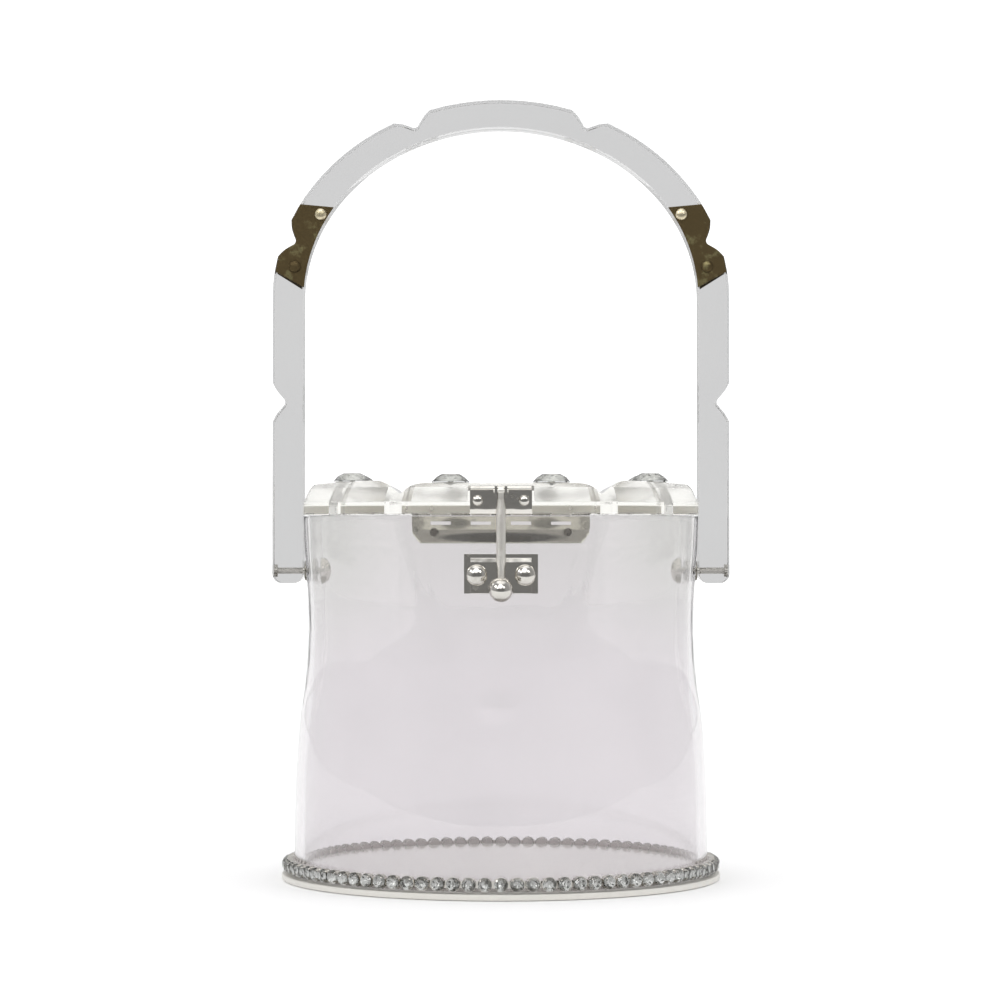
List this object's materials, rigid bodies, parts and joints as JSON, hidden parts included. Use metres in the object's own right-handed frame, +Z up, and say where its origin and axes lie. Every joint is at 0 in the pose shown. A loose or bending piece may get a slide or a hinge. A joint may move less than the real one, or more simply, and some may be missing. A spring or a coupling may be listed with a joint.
{
  "type": "clear box bag with rhinestones",
  "caption": "Clear acrylic bag with a tumbler body that is flat-sided at the mouth, hinged lobed lid set with cut stones, hasp clasp, swinging notched bow handle and a rhinestone chain round its foot.",
  "frame": {"origin": "centre of the underside of the base disc, on the surface that the bag stands on", "axes": "+Z up, -Y towards the clasp at the front, +X to the right seen from the front"},
  "size_m": [0.1454, 0.1396, 0.2478],
  "materials": {
    "clear_acrylic": "polished clear acrylic, faintly lilac through its thickness",
    "stone_chain": "silver-tone cups set with foiled cut glass stones",
    "cut_stone": "colourless cut glass with a foiled back",
    "plated_hardware": "nickel plate, polished, slightly rubbed",
    "aged_brass": "dark tarnished brass, brighter on the rivets"
  },
  "bodies": {
    "bag": {"body_shell": "clear_acrylic", "base_disc": "clear_acrylic", "rhinestone_chain": "stone_chain", "hinge_leaf_lower": "plated_hardware", "hinge_pin": "plated_hardware", "hinge_rivet_lower_left": "plated_hardware", "hinge_rivet_lower_right": "plated_hardware", "clasp_plate_lower": "plated_hardware", "clasp_stud_left": "plated_hardware", "clasp_stud_right": "plated_hardware", "pivot_screw_left": "plated_hardware", "pivot_screw_right": "plated_hardware", "pivot_spacer_left": "plated_hardware", "pivot_spacer_right": "plated_hardware", "pivot_nut_left": "plated_hardware", "pivot_nut_right": "plated_hardware"},
    "lid": {"lid": "clear_acrylic", "lid_stone_front_left": "cut_stone", "lid_stone_front_right": "cut_stone", "lid_stone_side_left_front": "cut_stone", "lid_stone_side_right_front": "cut_stone", "lid_stone_side_left_back": "cut_stone", "lid_stone_side_right_back": "cut_stone", "lid_stone_back_left": "cut_stone", "lid_stone_back_right": "cut_stone", "hinge_leaf_upper": "plated_hardware", "hinge_rivet_upper_left": "plated_hardware", "hinge_rivet_upper_right": "plated_hardware", "clasp_plate_upper": "plated_hardware", "clasp_rivet_left": "plated_hardware", "clasp_rivet_right": "plated_hardware", "lever_pin": "plated_hardware"},
    "lever": {"clasp_lever": "plated_hardware"},
    "handle": {"handle": "clear_acrylic", "handle_plate_left_front": "aged_brass", "handle_plate_left_back": "aged_brass", "handle_plate_right_front": "aged_brass", "handle_plate_right_back": "aged_brass", "handle_rivet_left_upper": "aged_brass", "handle_rivet_left_lower": "aged_brass", "handle_rivet_right_upper": "aged_brass", "handle_rivet_right_lower": "aged_brass"}
  },
  "joints": [
    {"name": "lid_hinge", "type": "hinge", "parent": "bag", "child": "lid", "pos_m": [0, 0.0605, 0.11515], "axis": [-1, 0, 0], "range_deg": [0, 110]},
    {"name": "lever_swing", "type": "hinge", "parent": "lid", "child": "lever", "pos_m": [0, -0.0616, 0.1224], "axis": [-1, 0, 0], "range_deg": [0, 110]},
    {"name": "handle_swing", "type": "hinge", "parent": "bag", "child": "handle", "pos_m": [0, 0, 0.0978], "axis": [-1, 0, 0], "range_deg": [-120, 120]}
  ]
}
